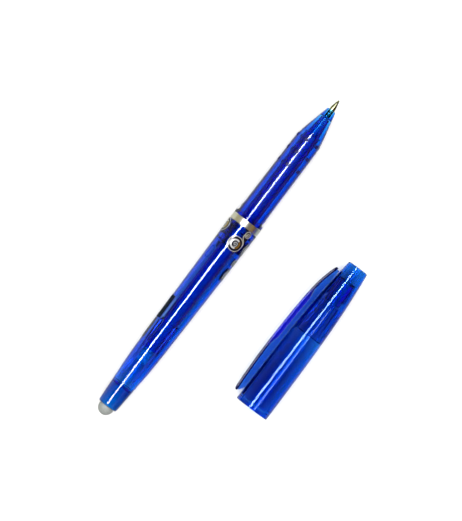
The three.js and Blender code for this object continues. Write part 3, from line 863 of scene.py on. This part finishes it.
def make_clip():
    """A wide outer plate with a keel under it, on a clear web that follows the cap."""
    half_web, half_plate, free_end, root, end_length = 0.7, 2.1, 2.15, 55.75, 1.6
    keel_depth, swell_depth, swell_rear, swell_front, swell_run = 1.0, 0.9, 21, 46, 5
    web_gap, seam, chamfer = 0.05, 0.03, 0.04
    tip_rise, tip_front, tip_run = 1.1, 4.4, 1.7  # how the web lifts off the cap at its tip
    root_rise, root_rear = 0.09, 52.9  # and behind the hinge, for each millimetre

    def rounding(x):
        """Share of the plate's full size, less near its two ends."""
        end = min((x - free_end + 0.05) / end_length, (root + 0.05 - x) / end_length, 1.0)
        return math.sqrt(max(0.02, 1 - (1 - end) ** 2))

    def keel(x):
        """Bottom of the plate's keel: deeper over the middle of the clip."""
        swell = min(1.0, max(0.0, (x - swell_rear) / swell_run),
                    max(0.0, (swell_front - x) / swell_run))
        eased_swell = swell_depth * swell * swell * (3 - 2 * swell)
        return radius_at(CLIP_LINE, x) - keel_depth - eased_swell

    def plate(x):
        """Section of the plate: a rounded top with a keel below its middle."""
        full = rounding(x)
        top = radius_at(CLIP_LINE, x) - (1 - full) * 0.5
        under = top - 0.35 - 0.65 * full
        wide, narrow = half_plate * (0.3 + 0.7 * full), half_web * (0.5 + 0.5 * full)
        low = min(under - 0.02, keel(x))
        half = [(top + 0.06, 0.0), (top + 0.03, wide - 0.5), (top - 0.04, wide - 0.22),
                (top - 0.2, wide - 0.04), (top - 0.4, wide), (under + 0.2, wide),
                (under, wide - 0.2), (under - 0.01, narrow), (low, narrow - 0.02)]
        return half + [(y, -z) for y, z in half[:0:-1]]

    def web(x):
        """Section of the web, which stays clear of the cap at its free end and behind the hinge."""
        top = keel(x) - seam
        lift = max(0.0, (tip_front - x) / tip_run) ** 1.5 * tip_rise
        lift += max(0.0, x - root_rear) * root_rise
        low = min(top - 0.1, radius_at(CAP_LINE, x) + web_gap + lift)
        narrow = half_web - 0.02
        return [(top, narrow), (top, -narrow), (low + chamfer, -narrow),
                (low, chamfer - narrow), (low, narrow - chamfer), (low + chamfer, narrow)]

    end_steps, plate_steps, web_steps = 8, 90, 80
    ends = [free_end + 0.35 * (k / end_steps) ** 2 for k in range(end_steps)]
    middle = [2.5 + 52.9 * k / plate_steps for k in range(plate_steps + 1)]
    outer = lofted("clip_plate", CAP, ends + middle + [55.6, 55.7, root], plate)
    dressed(outer, "clip", [plate_painted_shade], ["clip"])
    along = [2.6 + 52.6 * k / web_steps for k in range(web_steps + 1)]
    inner = lofted("clip_web", CAP, along, web)
    dressed(inner, "clip", [clip_plastic], ["clip"])


# ---- floor, light and camera ----------------------------------------------------------------
def make_floor():
    """A white sheet under the pen. Shiny pieces mirror the world's shades instead of it."""
    half = 3.0
    corners = [(-half, -half, 0), (half, -half, 0), (half, half, 0), (-half, half, 0)]
    thing = new_object("floor", corners, [(0, 1, 2, 3)])
    paper = solid("paper", (0.93, 0.93, 0.93), rough=(0.6, 0.8), scale=200, bump=0.0,
                  second=(0.92, 0.92, 0.925), specular=0.1)
    thing.data.materials.append(paper)
    thing.visible_glossy = False


def make_world():
    """A dim warm room round the table, darkest overhead.

    Shades run across the pen, from below over the horizon on the cap's side (-90 degrees), the
    zenith (0) and the other horizon (90) to below again.
    """
    shades = [(-180, (0.45, 0.5, 0.5)), (-122, (0.45, 0.5, 0.5)), (-110, (0.06, 0.07, 0.1)),
              (-92, (0.06, 0.045, 0.04)), (-78, (0.13, 0.07, 0.01)), (-65, (0.19, 0.1, 0.013)),
              (-54, (0.38, 0.27, 0.1)), (-44, (0.12, 0.09, 0.05)), (-34, (0.012, 0.012, 0.012)),
              (40, (0.012, 0.012, 0.012)), (52, (0.34, 0.33, 0.19)), (84, (0.34, 0.33, 0.19)),
              (94, (0.62, 0.65, 0.55)), (180, (0.62, 0.65, 0.55))]
    world = bpy.data.worlds.new("studio")
    bpy.context.scene.world = world
    world.use_nodes = True
    nodes, links = world.node_tree.nodes, world.node_tree.links
    place = nodes.new("ShaderNodeTexCoord")
    split = nodes.new("ShaderNodeSeparateXYZ")
    angle = nodes.new("ShaderNodeMath")
    angle.operation = "ARCTAN2"
    spread = nodes.new("ShaderNodeMapRange")
    spread.inputs["From Min"].default_value = -math.pi
    spread.inputs["From Max"].default_value = math.pi
    ramp = nodes.new("ShaderNodeValToRGB")
    links.new(place.outputs["Generated"], split.inputs["Vector"])
    links.new(split.outputs["Y"], angle.inputs[0])
    links.new(split.outputs["Z"], angle.inputs[1])
    links.new(angle.outputs["Value"], spread.inputs["Value"])
    links.new(spread.outputs["Result"], ramp.inputs["Fac"])
    links.new(ramp.outputs["Color"], nodes["Background"].inputs["Color"])
    stops = ramp.color_ramp.elements
    for k, (degrees, shade) in enumerate(shades):
        position = (degrees + 180) / 360
        stop = stops[k] if k < 2 else stops.new(position)
        stop.position, stop.color = position, (*shade, 1)


def make_lamp(name, size, place, radiance, seen, spread=180):
    """A rectangular lamp over the table that is hidden from every kind of ray not in seen."""
    lamp = bpy.data.lights.new(name, "AREA")
    lamp.shape = "RECTANGLE"
    lamp.size, lamp.size_y = size
    lamp.energy = radiance * math.pi * size[0] * size[1]
    lamp.spread = math.radians(spread)
    thing = bpy.data.objects.new(name, lamp)
    thing.location = place
    thing.visible_camera = False
    thing.visible_diffuse = "diffuse" in seen
    thing.visible_glossy = "glossy" in seen
    thing.visible_transmission = "transmission" in seen
    bpy.context.scene.collection.objects.link(thing)


def make_lights():
    """A soft overhead light, a long strip for the highlights, and a short one for the cap."""
    make_lamp("soft_box", size=(1.8, 1.8), place=(0, 0, 0.9), radiance=3.0,
              seen=("diffuse", "transmission"))
    make_lamp("strip", size=(0.63, 0.1), place=(0, 0.123, 0.5), radiance=28,
              seen=("glossy", "transmission"))
    make_lamp("second_strip", size=(0.06, 0.009), place=(-0.012, -0.043, 0.08), radiance=3.2,
              seen=("glossy", "transmission"), spread=78)


def make_camera():
    """Straight down, turned so that the pen runs up to the right."""
    view_height, distance, sensor = 0.17704, 1.5, 36
    centre_x, centre_y, turn = 0.0013, 0.01643, -52.76
    lens = bpy.data.cameras.new("camera")
    lens.sensor_width = sensor
    lens.lens = sensor * distance / view_height
    lens.clip_start = 0.05
    camera = bpy.data.objects.new("camera", lens)
    camera.location = (centre_x, centre_y, distance)
    camera.rotation_euler = (0, 0, math.radians(turn))
    bpy.context.scene.collection.objects.link(camera)
    bpy.context.scene.camera = camera


make_barrel()
make_tail()
make_eraser()
make_ring()
make_section()
make_dots()
make_refill()
make_holder()
make_point()
make_foils()
make_label()
make_cap()
make_liner()
make_clip()
make_floor()
make_world()
make_lights()
make_camera()
bpy.context.scene.view_settings.view_transform = "Standard"
